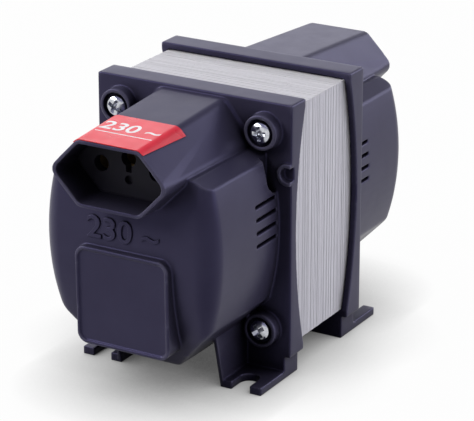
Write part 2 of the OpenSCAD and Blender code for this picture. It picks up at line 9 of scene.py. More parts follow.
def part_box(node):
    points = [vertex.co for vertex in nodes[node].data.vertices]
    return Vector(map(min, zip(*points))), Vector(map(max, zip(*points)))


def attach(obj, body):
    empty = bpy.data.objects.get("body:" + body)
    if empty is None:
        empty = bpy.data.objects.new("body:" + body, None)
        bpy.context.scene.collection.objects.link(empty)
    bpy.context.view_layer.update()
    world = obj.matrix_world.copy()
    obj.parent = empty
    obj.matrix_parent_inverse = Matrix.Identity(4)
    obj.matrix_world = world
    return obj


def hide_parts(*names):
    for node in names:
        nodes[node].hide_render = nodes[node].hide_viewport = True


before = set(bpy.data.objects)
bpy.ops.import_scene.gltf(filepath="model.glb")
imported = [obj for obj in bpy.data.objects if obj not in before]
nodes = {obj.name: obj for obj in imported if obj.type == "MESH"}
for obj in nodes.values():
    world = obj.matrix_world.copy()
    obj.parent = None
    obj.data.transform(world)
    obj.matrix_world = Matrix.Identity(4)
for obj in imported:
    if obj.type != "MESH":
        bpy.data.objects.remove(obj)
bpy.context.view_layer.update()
mm = 0.001
root = "root"
weldGap = 0.001 * mm


# small helpers

def linked(name, mesh):
    obj = bpy.data.objects.new(name, mesh)
    bpy.context.scene.collection.objects.link(obj)
    return obj


def addModifier(obj, kind, **settings):
    mod = obj.modifiers.new(kind.title(), kind)
    for key, value in settings.items():
        setattr(mod, key, value)


def baked(obj):  # modifiers, curves and text become a plain mesh
    graph = bpy.context.evaluated_depsgraph_get()
    mesh = bpy.data.meshes.new_from_object(obj.evaluated_get(graph))
    done = linked(obj.name + ".mesh", mesh)
    name = obj.name
    bpy.data.objects.remove(obj)
    done.name = name
    return done


def shadeSmooth(obj, angle=None):
    for face in obj.data.polygons:
        face.use_smooth = True
    if angle:
        obj.data.set_sharp_from_angle(angle=math.radians(angle))


def coat(obj, material):
    obj.data.materials.clear()
    obj.data.materials.append(material)


def finishPiece(obj, material, slot, *replaced):
    coat(obj, material)
    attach(obj, root)
    if replaced:
        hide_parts(*replaced)


def dress(name, material):  # a CAD node that stays
    coat(nodes[name], material)


def lathe(bm, rows, count):  # rows of (height, radius or radius by angle) along the axis
    loops = []
    for height, radius in rows:
        loop = []
        for step in range(count):
            angle = 2 * math.pi * step / count
            r = radius(angle) if callable(radius) else radius
            loop.append(bm.verts.new((r * math.cos(angle), r * math.sin(angle), height)))
        loops.append(loop)
    for low, high in zip(loops, loops[1:]):
        for step in range(count):
            after = (step + 1) % count
            bm.faces.new((low[step], low[after], high[after], high[step]))
    return loops


def meshOf(name, bm):
    bmesh.ops.recalc_face_normals(bm, faces=bm.faces)
    mesh = bpy.data.meshes.new(name)
    bm.to_mesh(mesh)
    bm.free()
    return linked(name, mesh)


# materials

def startMaterial(name, look):
    material = bpy.data.materials.new(name)
    material.use_nodes = True
    tree = material.node_tree
    shader = tree.nodes["Principled BSDF"]
    for socket, value in look.items():
        shader.inputs[socket].default_value = (*value, 1) if isinstance(value, tuple) else value
    return material, tree, shader


def addNode(tree, kind, values=None, **settings):
    node = tree.nodes.new("ShaderNode" + kind)
    for key, value in settings.items():
        setattr(node, key, value)
    for socket, value in (values or {}).items():
        node.inputs[socket].default_value = value
    return node


def place(tree, stretch=(1, 1, 1)):  # object coordinates, stretched for streaks
    where = addNode(tree, "TexCoord")
    mapping = addNode(tree, "Mapping", {"Scale": stretch})
    tree.links.new(where.outputs["Object"], mapping.inputs["Vector"])
    return mapping.outputs["Vector"]


def noise(tree, grain, detail=3.0, stretch=(1, 1, 1)):  # grain is the size of a speck in mm
    tex = addNode(tree, "TexNoise", {"Scale": 1 / (grain * mm), "Detail": detail, "Roughness": 0.6})
    tree.links.new(place(tree, stretch), tex.inputs["Vector"])
    return tex.outputs["Fac"]


def spread(tree, value, low, high, start=0.3, stop=0.7):  # from start to stop the result goes from low to high
    span = addNode(tree, "MapRange", {"From Min": start, "From Max": stop, "To Min": low, "To Max": high})
    tree.links.new(value, span.inputs["Value"])
    return span.outputs["Result"]


def blendColours(tree, share, first, second):
    mix = addNode(tree, "Mix", data_type="RGBA")
    tree.links.new(share, mix.inputs["Factor"])
    for socket, colour in ((mix.inputs[6], first), (mix.inputs[7], second)):
        if isinstance(colour, tuple):
            socket.default_value = (*colour, 1)
        else:
            tree.links.new(colour, socket)
    return mix.outputs[2]


def addBump(tree, shader, height, depth, strength):
    bump = addNode(tree, "Bump", {"Strength": strength, "Distance": depth * mm})
    tree.links.new(height, bump.inputs["Height"])
    tree.links.new(bump.outputs["Normal"], shader.inputs["Normal"])


plasticLook = {
    "base": {"Base Color": (0.034, 0.031, 0.055), "Roughness": 0.35, "IOR": 1.5,
             "Specular IOR Level": 0.26, "Specular Tint": (0.42, 0.38, 1.0)},
    "cloudGrain": 14,
    "clouds": ((0.031, 0.028, 0.05), (0.037, 0.034, 0.06)),
    # painted highlight: lighter tone on sharp edges
    "edgeSheenTone": (0.068, 0.064, 0.098),
    "edgeSheenRange": (0.1, 0.6),            # sharpness where the painted edge highlight starts and where it is full, in 1/mm
    "hollowShade": (0.007, 0.006, 0.012),    # painted shade, darker deep in hollows
    "hollowReach": 40 * mm,
    "hollowRange": (0.25, 0.6),         # share of the view that is open, deep down and at the rim
    "gloss": (0.06, 0.26),              # specular level in painted hollow shade and in the open
    "roughGrain": 5,
    "rough": (0.33, 0.37),
    "skinGrain": 0.35,                  # spark-eroded mould skin
    "skinDepth": 0.01,
    "skinStrength": 0.25,
}


def mouldedPlastic():
    p = plasticLook
    material, tree, shader = startMaterial("capPlastic", p["base"])
    cloud = spread(tree, noise(tree, p["cloudGrain"]), 0, 1)
    tone = blendColours(tree, cloud, *p["clouds"])
    # painted highlight: sharp edges are lightened as if they caught the light
    edge = addNode(tree, "Attribute", attribute_name="edgeSheen")
    edgeSheenTone = spread(tree, edge.outputs["Fac"], 0, 1, *p["edgeSheenRange"])
    tone = blendColours(tree, edgeSheenTone, tone, p["edgeSheenTone"])
    # painted shade: what ambient occlusion finds hollow gets a darker colour and less gloss
    hollowShade = addNode(tree, "AmbientOcclusion", {"Distance": p["hollowReach"]}, samples=8)
    bare = spread(tree, hollowShade.outputs["AO"], 0, 1, *p["hollowRange"])
    tree.links.new(blendColours(tree, bare, p["hollowShade"], tone), shader.inputs["Base Color"])
    tree.links.new(spread(tree, bare, *p["gloss"], 0, 1), shader.inputs["Specular IOR Level"])
    tree.links.new(spread(tree, noise(tree, p["roughGrain"]), *p["rough"]), shader.inputs["Roughness"])
    addBump(tree, shader, noise(tree, p["skinGrain"], 4), p["skinDepth"], p["skinStrength"])
    return material


steelLook = {
    "base": {"Base Color": (0.55, 0.54, 0.57), "Metallic": 0.12, "Roughness": 0.6, "Specular IOR Level": 0.2},
    "sheets": ((0.63, 0.62, 0.65), (0.74, 0.73, 0.76)),     # from sheet to sheet
    "streak": (0.34, 0.33, 0.35),
    "streakShare": 0.4,
    "streakGrain": 6,
    "streakStretch": (1, 40, 1),
    "rough": (0.55, 0.65),
    "brushGrain": 0.3,
    "brushStretch": (1, 6, 1),
    "brushDepth": 0.01,
    "brushStrength": 0.4,
}


def sheetSteel():
    p = steelLook
    material, tree, shader = startMaterial("coreSteel", p["base"])
    where = addNode(tree, "TexCoord")
    parts = addNode(tree, "SeparateXYZ")
    tree.links.new(where.outputs["Object"], parts.inputs["Vector"])
    count = addNode(tree, "Math", {1: 1 / coreForm["pitch"]}, operation="MULTIPLY")
    tree.links.new(parts.outputs["Y"], count.inputs[0])
    sheet = addNode(tree, "Math", operation="FLOOR")
    tree.links.new(count.outputs["Value"], sheet.inputs[0])
    dice = addNode(tree, "TexWhiteNoise", noise_dimensions="1D")
    tree.links.new(sheet.outputs["Value"], dice.inputs["W"])
    streak = spread(tree, noise(tree, p["streakGrain"], 4, p["streakStretch"]), 0, p["streakShare"])
    tone = blendColours(tree, dice.outputs["Value"], *p["sheets"])
    tree.links.new(blendColours(tree, streak, tone, p["streak"]), shader.inputs["Base Color"])
    tree.links.new(spread(tree, dice.outputs["Value"], *p["rough"], 0, 1), shader.inputs["Roughness"])
    brush = noise(tree, p["brushGrain"], 3, p["brushStretch"])
    addBump(tree, shader, brush, p["brushDepth"], p["brushStrength"])
    return material


zincLook = {
    "base": {"Base Color": (0.52, 0.53, 0.57), "Metallic": 1.0, "Roughness": 0.17},
    "cloud": (1.2, 3),                  # grain and detail
    "tones": ((0.42, 0.43, 0.47), (0.62, 0.63, 0.67)),
    "dull": (0.8, 3),
    "rough": (0.13, 0.22),
    "dent": (0.5, 2),
    "dentDepth": 0.004,
    "dentStrength": 0.2,
}
stickerLook = {
    "base": {"Base Color": (0.73, 0.016, 0.034), "Roughness": 0.3, "IOR": 1.5},
    "cloud": (5, 0),
    "tones": ((0.7, 0.014, 0.03), (0.76, 0.02, 0.04)),
    "dull": (4, 0),
    "rough": (0.27, 0.33),
    "dent": (9, 0),                     # vinyl that never lies quite flat
    "dentDepth": 0.02,
    "dentStrength": 0.1,
}


def cloudy(name, p):
    material, tree, shader = startMaterial(name, p["base"])
    cloud = spread(tree, noise(tree, *p["cloud"]), 0, 1)
    tree.links.new(blendColours(tree, cloud, *p["tones"]), shader.inputs["Base Color"])
    tree.links.new(spread(tree, noise(tree, *p["dull"]), *p["rough"]), shader.inputs["Roughness"])
    addBump(tree, shader, noise(tree, *p["dent"]), p["dentDepth"], p["dentStrength"])
    return material


# finish of an inner piece
def speckled(name, first, second, grain, roughness, metallic=0.0, depth=0.01, gloss=0.5):
    look = {"Base Color": first, "Metallic": metallic, "Roughness": roughness, "Specular IOR Level": gloss}
    material, tree, shader = startMaterial(name, look)
    cloud = spread(tree, noise(tree, grain), 0, 1)
    tree.links.new(blendColours(tree, cloud, first, second), shader.inputs["Base Color"])
    rough = spread(tree, noise(tree, 2 * grain), 0.8 * roughness, 1.2 * roughness)
    tree.links.new(rough, shader.inputs["Roughness"])
    addBump(tree, shader, noise(tree, grain / 3, 4), depth, 0.4)
    return material


# end caps: the CAD cap with every edge eased, as it comes out of a mould

capForm = {
    "voxel": 0.25 * mm,
    "rounds": 4,              # smoothing of every edge
    "lowRounds": 120,         # more on the body's lower edges
    "lowTop": 34 * mm,
    "fade": 5 * mm,
    "bossDepth": 6.5 * mm,    # clear of the lower bosses
    "webTop": 22 * mm,        # clear of the feet's webs
    "webDepth": 21 * mm,
    "padHalf": 17.2 * mm,     # the pad keeps its edges
    "padLow": 16.4 * mm,
    "padDepth": 31 * mm,
    "flangeFace": 22.7 * mm,
    "easeSteps": 10,          # how finely the lower edges' share is graded
    "pull": 0.5,              # of one round of smoothing
    "faces": 170000,          # triangles that the thinning aims at
    "lastRounds": 2,          # evens out the points that the thinning leaves
    "edgeSheenRounds": 3,
    "seat": 0.12 * mm,        # how far the skin is lowered under the sticker
    "upward": 0.2,            # least rise of the skin that is lowered
}


def lowEdgeShare(p):  # how much a point is eased with the body's lower edges
    depth = -p.y - capForm["flangeFace"]
    if depth > capForm["padDepth"] and abs(p.x) < capForm["padHalf"] and p.z > capForm["padLow"]:
        return 0
    front = depth - capForm["webDepth"]
    side = min(depth - capForm["bossDepth"], p.z - capForm["webTop"])
    room = min(capForm["lowTop"] - p.z, max(front, side))
    return max(0, min(1, room / capForm["fade"]))


noseForm = {                            # at the flange and at the mouth
    "side": (21.5 * mm, 20.6 * mm),     # half width over the side corners
    "flat": (11.3 * mm, 10.7 * mm),     # half width of the top
    "top": (87.3 * mm, 84.3 * mm),
    "corner": 74 * mm,                  # height of the side corners
    "length": 47.3 * mm,
    "skin": (-0.9 * mm, 0.7 * mm),      # how near the face a point is moved with it
    "reach": (0.02, 0.99),              # share of the length that is moved
    "limits": (0.01, 0.99),             # keeps the share off the ends
}


def rowsOf(things, key, width, kind=float):
    values = numpy.empty(width * len(things), kind)
    things.foreach_get(key, values)
    return values.reshape(-1, width)


def easeNose(mesh):  # the sloped upper faces twist evenly from flange to mouth, with no fold across them
    points = rowsOf(mesh.vertices, "co", 3)
    hand = numpy.sign(points[:, 0])
    share = (-points[:, 1] - capForm["flangeFace"]) / noseForm["length"]
    inside = (share > noseForm["reach"][0]) & (share < noseForm["reach"][1])
    share = numpy.clip(share, *noseForm["limits"])
    ends = [noseForm[key] for key in ("side", "flat", "top")]
    side, flat, top = (a + (b - a) * share for a, b in ends)
    alongX, alongZ = flat - side, top - noseForm["corner"]
    length = numpy.hypot(alongX, alongZ)
    awayX, awayZ = hand * points[:, 0] - side, points[:, 2] - noseForm["corner"]
    off = (awayX * alongZ - awayZ * alongX) / length
    run = numpy.clip((awayX * alongX + awayZ * alongZ) / length ** 2, 0, 1)
    inside &= (off > noseForm["skin"][0]) & (off < noseForm["skin"][1])
    fold = inside * share * (1 - share) * numpy.minimum(run / (1 - share), (1 - run) / share)
    (rootSide, mouthSide), (rootFlat, mouthFlat), (rootTop, mouthTop) = ends
    points[:, 0] += hand * fold * (rootSide + mouthFlat - rootFlat - mouthSide)
    points[:, 2] += fold * (mouthTop - rootTop)
    mesh.vertices.foreach_set("co", points.ravel())


def softCap(name):
    obj = linked(name, nodes["front_cap"].data.copy())
    addModifier(obj, "WELD", merge_threshold=weldGap)
    addModifier(obj, "REMESH", mode="VOXEL", voxel_size=capForm["voxel"])
    obj = baked(obj)
    easeNose(obj.data)
    low = obj.vertex_groups.new(name="lowEdges")
    grades, pull = capForm["easeSteps"], capForm["pull"]
    steps = [[] for _ in range(grades + 1)]
    for v in obj.data.vertices:
        steps[round(grades * lowEdgeShare(v.co))].append(v.index)
    for k, members in enumerate(steps[1:], 1):
        low.add(members, k / grades, "REPLACE")
    addModifier(obj, "SMOOTH", factor=pull, iterations=capForm["lowRounds"], vertex_group="lowEdges")
    addModifier(obj, "SMOOTH", factor=pull, iterations=capForm["rounds"])
    triangles = 2 * len(obj.data.polygons)
    addModifier(obj, "DECIMATE", ratio=capForm["faces"] / triangles)
    addModifier(obj, "SMOOTH", factor=pull, iterations=capForm["lastRounds"])
    obj = baked(obj)
    shadeSmooth(obj)
    return obj


def markEdgeSheen(mesh):  # how sharply each point stands out, in 1/mm, evened over its neighbours; it places the painted edge highlight
    points, normals = (rowsOf(mesh.vertices, key, 3) for key in ("co", "normal"))
    first, second = rowsOf(mesh.edges, "vertices", 2, numpy.int32).T
    gap = points[first] - points[second]
    span = (gap ** 2).sum(1)
    rise, room, links = (numpy.zeros(len(points)) for _ in range(3))
    for end, toward in ((first, gap), (second, -gap)):
        numpy.add.at(rise, end, (normals[end] * toward).sum(1))
        numpy.add.at(room, end, span)
        numpy.add.at(links, end, 1)
    bend = 2 * mm * rise / numpy.maximum(room, 1e-12)
    for _ in range(capForm["edgeSheenRounds"]):
        total = bend.copy()
        numpy.add.at(total, first, bend[second])
        numpy.add.at(total, second, bend[first])
        bend = total / (links + 1)
    mesh.attributes.new("edgeSheen", "FLOAT", "POINT").data.foreach_set("value", bend)


def seatSticker(mesh):  # the nose's skin stays below the sticker
    low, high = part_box("front_sticker")
    for v in mesh.vertices:
        if low.y < v.co.y < high.y and v.co.z > low.z and v.normal.z > capForm["upward"]:
            v.co.z -= capForm["seat"]


def buildCaps():
    plastic = mouldedPlastic()
    front = softCap("frontCap")
    markEdgeSheen(front.data)
    rear = linked("rearCap", front.data.copy())
    rear.data.transform(Matrix.Rotation(math.pi, 4, "Z"))
    seatSticker(front.data)
    finishPiece(front, plastic, "cap_plastic", "front_cap")
    finishPiece(rear, plastic, "cap_plastic", "rear_cap")
    print("caps:", len(front.data.polygons), "faces each")
    return plastic


# core: real sheets, the E's and I's changing sides from packet to packet

coreForm = {
    "unit": 12.7 * mm,      # half the middle leg
    "pitch": 0.5 * mm,
    "sheet": 0.46 * mm,
    "perPacket": 10,
    "hole": 2.25 * mm,
    "holeZ": 2.5,           # in units, from the middle
    "holeSides": 24,
    "stray": 0.06 * mm,     # how far a sheet sits out of line
}
# outlines in units
eOutline = [(-2.5, -3), (1.5, -3), (1.5, -2), (-1.5, -2), (-1.5, -1), (1.5, -1),
            (1.5, 1), (-1.5, 1), (-1.5, 2), (1.5, 2), (1.5, 3), (-2.5, 3)]
iOutline = [(1.5, -3), (2.5, -3), (2.5, 3), (1.5, 3)]


def flatSheet(outline, holeX):  # one sheet lying in X and Z, made as a filled curve
    curve = bpy.data.curves.new("sheet", "CURVE")
    curve.dimensions = "2D"
    curve.fill_mode = "BOTH"
    curve.extrude = coreForm["sheet"] / 2
    unit = coreForm["unit"]
    sides = coreForm["holeSides"]
    turns = [2 * math.pi * k / sides for k in range(sides)]
    loops = [[(x * unit, z * unit) for x, z in outline]]
    for holeZ in (-coreForm["holeZ"], coreForm["holeZ"]):
        loops.append([(holeX * unit + coreForm["hole"] * math.cos(t),
                       holeZ * unit + coreForm["hole"] * math.sin(t)) for t in turns])
    for loop in loops:
        spline = curve.splines.new("POLY")
        spline.points.add(len(loop) - 1)
        for point, (x, z) in zip(spline.points, loop):
            point.co = (x, z, 0, 1)
        spline.use_cyclic_u = True
    obj = baked(linked("sheet", curve))
    points = [(v.co.x, v.co.z, v.co.y) for v in obj.data.vertices]
    faces = [tuple(f.vertices) for f in obj.data.polygons]
    bpy.data.objects.remove(obj)
    return points, faces


def sheetStack(name, outline, holeX, seed):
    low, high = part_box("e_laminations")
    middle = (low + high) / 2
    points, faces = flatSheet(outline, holeX)
    dice = random.Random(seed)
    verts, polys = [], []
    count = round((high.y - low.y) / coreForm["pitch"])
    for i in range(count):
        side = -1 if (i // coreForm["perPacket"]) % 2 else 1
        dx, dz = (dice.uniform(-1, 1) * coreForm["stray"] for _ in range(2))
        y = low.y + (i + 0.5) * coreForm["pitch"]
        base = len(verts)
        verts += [(middle.x + side * px + dx, y + py, middle.z + pz + dz) for px, py, pz in points]
        polys += [[base + k for k in face] for face in faces]
    mesh = bpy.data.meshes.new(name)
    mesh.from_pydata(verts, [], polys)
    bm = bmesh.new()
    bm.from_mesh(mesh)
    bmesh.ops.remove_doubles(bm, verts=bm.verts, dist=weldGap)
    return meshOf(name, bm)


def buildCore():
    steel = sheetSteel()
    finishPiece(sheetStack("eSheets", eOutline, -2, 3), steel, "core_steel", "e_laminations")
    finishPiece(sheetStack("iSheets", iOutline, 2, 7), steel, "core_steel", "i_laminations")
    print("core: sheets stacked")


# through bolts and nuts

boltForm = {
    "headRadius": 3.5 * mm,
    "headHeight": 2.5 * mm,
    "shank": 1.95 * mm,
    "thread": 0.7 * mm,       # pitch
    "threadDepth": 0.36 * mm,
    "threadLength": 9 * mm,
    "threadSteps": 8,         # rows to one pitch
    "runOut": 1.2 * mm,
    "point": 0.8 * mm,
    "pointShare": (0.78, 0.22),     # width at the tip, and what the point adds to it
    "rim": 0.7 * mm,
    "rimEase": 0.12 * mm,
    "domeSteps": 9,
    "domeShape": 0.8,
    "domeTip": 0.05 * mm,
    "crossLength": 5.3 * mm,
    "crossWidth": 1.3 * mm,
    "crossDepth": 1.9 * mm,
    "crossLift": 0.4 * mm,    # how far the cutter stands over the head
    "crossShares": (0.42, 1.08),    # length of an arm at the bottom and at the top
    "crossTaper": (0.6, 0.4),
    "neck": 0.01 * mm,
    "sides": 32,
    "sharpAngle": 40,
    "turns": (18, 64, 35, 5),       # how far each head is turned, in degrees
}
nutForm = {
    "across": 7 * mm,
    "height": 3.2 * mm,
    "chamfer": 0.45 * mm,
    "play": 0.06 * mm,
    "boreEase": 0.3 * mm,
    "sides": 96,
    "sharpAngle": 30,
}


def domeRows(radius, height):
    rim, ease, count = boltForm["rim"], boltForm["rimEase"], boltForm["domeSteps"]
    rows = [(0, radius - ease), (ease, radius)]
    for step in range(count):
        angle = math.pi / 2 * step / count
        rows.append((rim + (height - rim) * math.sin(angle), radius * math.cos(angle) ** boltForm["domeShape"]))
    rows.append((height, boltForm["domeTip"]))
    return rows


def crossCutter():
    bm = bmesh.new()
    deep = boltForm["headHeight"] - boltForm["crossDepth"]
    top = boltForm["headHeight"] + boltForm["crossLift"]
    least, more = boltForm["crossTaper"]
    for turn in (0, math.pi / 2):
        arms = []
        for height, share in zip((deep, top), boltForm["crossShares"]):
            length = boltForm["crossLength"] / 2 * share
            width = boltForm["crossWidth"] / 2 * (least + more * share)
            corners = ((-length, -width), (length, -width), (length, width), (-length, width))
            spin = Matrix.Rotation(turn, 3, "Z")
            arms.append([bm.verts.new(spin @ Vector((x, y, height))) for x, y in corners])
        low, high = arms
        bm.faces.new(low[::-1])
        bm.faces.new(high)
        for k in range(4):
            bm.faces.new((low[k], low[(k + 1) % 4], high[(k + 1) % 4], high[k]))
    return meshOf("crossCutter", bm)


def oneBolt(length, turn):  # head up, seat at zero
    bm = bmesh.new()
    start = -length + boltForm["threadLength"]
    pitch, depth = boltForm["thread"], boltForm["threadDepth"]
    tip, gain = boltForm["pointShare"]
    rows = []
    steps = round(boltForm["threadLength"] / pitch * boltForm["threadSteps"])
    for k in range(steps + 1):
        height = -length + boltForm["threadLength"] * k / steps
        taper = min(1, (height + length) / boltForm["point"])
        fade = min(1, (start - height) / boltForm["runOut"])

        def radius(angle, height=height, taper=taper, fade=fade):
            phase = (height / pitch - angle / (2 * math.pi)) % 1
            cut = depth * fade * abs(2 * phase - 1)
            return (boltForm["shank"] - cut) * (tip + gain * taper)
        rows.append((height, radius))
    rows.append((-boltForm["neck"], boltForm["shank"]))
    rows += domeRows(boltForm["headRadius"], boltForm["headHeight"])
    loops = lathe(bm, rows, boltForm["sides"])
    bm.faces.new(loops[0][::-1])
    bm.faces.new(loops[-1])
    bolt = meshOf("bolt", bm)
    cutter = crossCutter()
    addModifier(bolt, "BOOLEAN", operation="DIFFERENCE", solver="EXACT", object=cutter,
                use_self=True)
    bolt = baked(bolt)
    bpy.data.objects.remove(cutter)
    bolt.data.transform(Matrix.Rotation(math.radians(turn), 4, "Z"))
    return bolt


def oneNut():
    bm = bmesh.new()
    across, height, ease = nutForm["across"] / 2, nutForm["height"], nutForm["chamfer"]
    half = math.pi / 6  # half of one flat's angle
    corner = across / math.cos(half)

    def hexagon(limit):
        return lambda angle: min(across / math.cos((angle + half) % (2 * half) - half), limit)
    bore, lead = boltForm["shank"] + nutForm["play"], nutForm["boreEase"]
    rows = [(0, bore), (0, hexagon(across)), (ease, hexagon(corner)), (height - ease, hexagon(corner)),
            (height, hexagon(across)), (height, bore + lead), (height - lead, bore)]
    count = nutForm["sides"]
    loops = lathe(bm, rows, count)
    first, last = loops[0], loops[-1]
    for step in range(count):
        after = (step + 1) % count
        bm.faces.new((last[step], last[after], first[after], first[step]))
    return meshOf("nut", bm)


def joined(name, parts):
    bm = bmesh.new()
    for obj, matrix in parts:
        mesh = obj.data.copy()
        mesh.transform(matrix)
        bm.from_mesh(mesh)
        bpy.data.meshes.remove(mesh)
    for obj in {obj for obj, _ in parts}:
        bpy.data.objects.remove(obj)
    mesh = bpy.data.meshes.new(name)
    bm.to_mesh(mesh)
    bm.free()
    return linked(name, mesh)


def buildBolts():
    zinc = cloudy("zinc", zincLook)
    low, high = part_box("through_bolts")
    head = boltForm["headRadius"]
    spots = [(x, z) for x in (low.x + head, high.x - head) for z in (low.z + head, high.z - head)]
    seat = low.y + boltForm["headHeight"]
    outward = Matrix.Rotation(math.pi / 2, 4, "X")  # local Z to -Y
    bolts = [(oneBolt(high.y - seat, turn), Matrix.Translation((x, seat, z)) @ outward)
             for (x, z), turn in zip(spots, boltForm["turns"])]
    boltSet = joined("boltSet", bolts)
    shadeSmooth(boltSet, boltForm["sharpAngle"])
    finishPiece(boltSet, zinc, "zinc", "through_bolts")
    nutLow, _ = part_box("bolt_nuts")
    inward = Matrix.Rotation(-math.pi / 2, 4, "X")
    nuts = []
    for (x, z), turn in zip(spots, boltForm["turns"]):
        spin = Matrix.Rotation(math.radians(turn), 4, "Z")
        nuts.append((oneNut(), Matrix.Translation((x, nutLow.y, z)) @ inward @ spin))
    nutSet = joined("nutSet", nuts)
    shadeSmooth(nutSet, nutForm["sharpAngle"])
    finishPiece(nutSet, zinc, "zinc", "bolt_nuts")
    dress("bolt_washers", zinc)
    print("bolts: four, with nuts and washers")


# sticker and the raised number under the nose, both with plain numerals

markForm = {
    "words": "230 ~",
    "digitShare": 0.72,             # height of a digit in the font's size
    "bevelSteps": 2,
    "stickerHeight": 5.8 * mm,
    "stickerMiddle": -56.8 * mm,
    "noseFall": math.atan(3 / 47.3),        # slope of the nose's top
    "ink": 0.03 * mm,
    "lineHalf": 9.7 * mm,
    "lineWidth": 0.45 * mm,
    "lineMiddle": -61.4 * mm,
    "lineSides": 16,
    "raisedHeight": 6.9 * mm,
    "raisedMiddle": 54.6 * mm,
    "raisedFront": -61.55 * mm,
    "proud": 0.32 * mm,
    "lean": math.radians(3.4),      # the front swells, so the number leans back
    "sharpAngle": 35,
    "stickerSpan": (-10 * mm, 9.8 * mm),
    "raisedSpan": (-12.9 * mm, 12 * mm),
    "stickerBold": 0.14 * mm,
    "raisedEase": 0.16 * mm,
}


def numerals(name, height, span, thickness, bold=0.0, ease=0.0):
    curve = bpy.data.curves.new(name, "FONT")
    curve.body = markForm["words"]
    curve.size = height / markForm["digitShare"]
    curve.align_x = "CENTER"
    curve.align_y = "CENTER"
    curve.extrude = thickness / 2
    curve.offset = bold
    curve.bevel_depth = ease
    curve.bevel_resolution = markForm["bevelSteps"]
    obj = baked(linked(name, curve))
    left, right = (pick(v.co.x for v in obj.data.vertices) for pick in (min, max))
    widen = Matrix.Scale((span[1] - span[0]) / (right - left), 4, (1, 0, 0))
    obj.data.transform(Matrix.Translation((span[0], 0, 0)) @ widen @ Matrix.Translation((-left, 0, 0)))
    return obj


def inkLine():  # printed line with round ends
    bm = bmesh.new()
    radius, count = markForm["lineWidth"] / 2, markForm["lineSides"]
    half = markForm["lineHalf"] - radius
    rims = []
    for height in (-markForm["ink"] / 2, markForm["ink"] / 2):
        rim = []
        for k in range(count):
            angle = 2 * math.pi * (k + 0.5) / count
            end = half if math.cos(angle) > 0 else -half
            rim.append(bm.verts.new((end + radius * math.cos(angle), radius * math.sin(angle), height)))
        rims.append(rim)
    low, high = rims
    bm.faces.new(low[::-1])
    bm.faces.new(high)
    for k in range(count):
        after = (k + 1) % count
        bm.faces.new((low[k], low[after], high[after], high[k]))
    return meshOf("inkLine", bm)


def onSticker(y):  # place on the sticker's face, tilted with the nose's top
    _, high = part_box("front_sticker")
    fall = markForm["noseFall"]
    spot = (0, y, high.z - (high.y - y) * math.tan(fall))
    return Matrix.Translation(spot) @ Matrix.Rotation(fall, 4, "X")


def buildMarks(plastic):
    dress("front_sticker", cloudy("sticker", stickerLook))
    white = speckled("stickerInk", (0.86, 0.85, 0.86), (0.78, 0.77, 0.78), 1.5, 0.4, depth=0.004)
    number = numerals("number", markForm["stickerHeight"], markForm["stickerSpan"], markForm["ink"],
                      bold=markForm["stickerBold"])
    ink = joined("stickerNumber", [(number, onSticker(markForm["stickerMiddle"])),
                                   (inkLine(), onSticker(markForm["lineMiddle"]))])
    finishPiece(ink, white, "sticker")
    raised = numerals("raisedNumber", markForm["raisedHeight"], markForm["raisedSpan"], 2 * markForm["proud"],
                      ease=markForm["raisedEase"])
    upright = Matrix.Rotation(math.pi / 2 - markForm["lean"], 4, "X")
    spot = (0, markForm["raisedFront"], markForm["raisedMiddle"])
    raised.data.transform(Matrix.Translation(spot) @ upright)
    shadeSmooth(raised, markForm["sharpAngle"])
    finishPiece(raised, plastic, "cap_plastic")
    print("marks: sticker and raised number")


# coil: the windings get their turns of wire

coilForm = {
    "legHalfY": 20 * mm,
    "legHalfZ": 12.7 * mm,
    "layer": 3.2 * mm,      # build-up of one winding
    "wire": 0.9 * mm,
    "bumpSteps": 5,
    "cornerSteps": 8,
    "sharpAngle": 60,
}


def windTurns(name, winding):  # ribs of wire on the outer face, flat against what it is wound on
    low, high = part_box(winding)
    middle = (low + high) / 2
    outer = (high.z - low.z) / 2 - coilForm["legHalfZ"]
    inner = outer - coilForm["layer"]
    turns = int((high.x - low.x) / coilForm["wire"])
    pitch = (high.x - low.x) / turns
    profile = [(low.x, inner)]
    for turn in range(turns):
        for step in range(coilForm["bumpSteps"] + 1):
            angle = math.pi * step / coilForm["bumpSteps"]
            x = low.x + pitch * (turn + 0.5 - math.cos(angle) / 2)
            profile.append((x, outer - pitch / 2 + pitch / 2 * math.sin(angle)))
    profile.append((high.x, inner))
    bm = bmesh.new()
    loops = []
    for sy, sz, first in ((1, 1, 0), (-1, 1, 90), (-1, -1, 180), (1, -1, 270)):
        cornerY = middle.y + sy * coilForm["legHalfY"]
        cornerZ = middle.z + sz * coilForm["legHalfZ"]
        for k in range(coilForm["cornerSteps"] + 1):
            angle = math.radians(first + 90 * k / coilForm["cornerSteps"])
            c, s = math.cos(angle), math.sin(angle)
            loops.append([bm.verts.new((x, cornerY + t * c, cornerZ + t * s)) for x, t in profile])
    for k, loop in enumerate(loops):
        following = loops[(k + 1) % len(loops)]
        for i in range(len(profile)):
            j = (i + 1) % len(profile)
            bm.faces.new((loop[i], loop[j], following[j], following[i]))
    bmesh.ops.remove_doubles(bm, verts=bm.verts, dist=weldGap)
    obj = meshOf(name, bm)
    shadeSmooth(obj, coilForm["sharpAngle"])
    return obj


def buildCoil():
    copper = speckled("enamelledCopper", (0.36, 0.12, 0.045), (0.46, 0.17, 0.06), 0.6, 0.28, 0.85)
    for name, winding in (("commonTurns", "common_winding"), ("seriesTurns", "series_winding")):
        finishPiece(windTurns(name, winding), copper, "enamelled_copper", winding)
    print("coil: wound")


# inner pieces that stay as the CAD has them

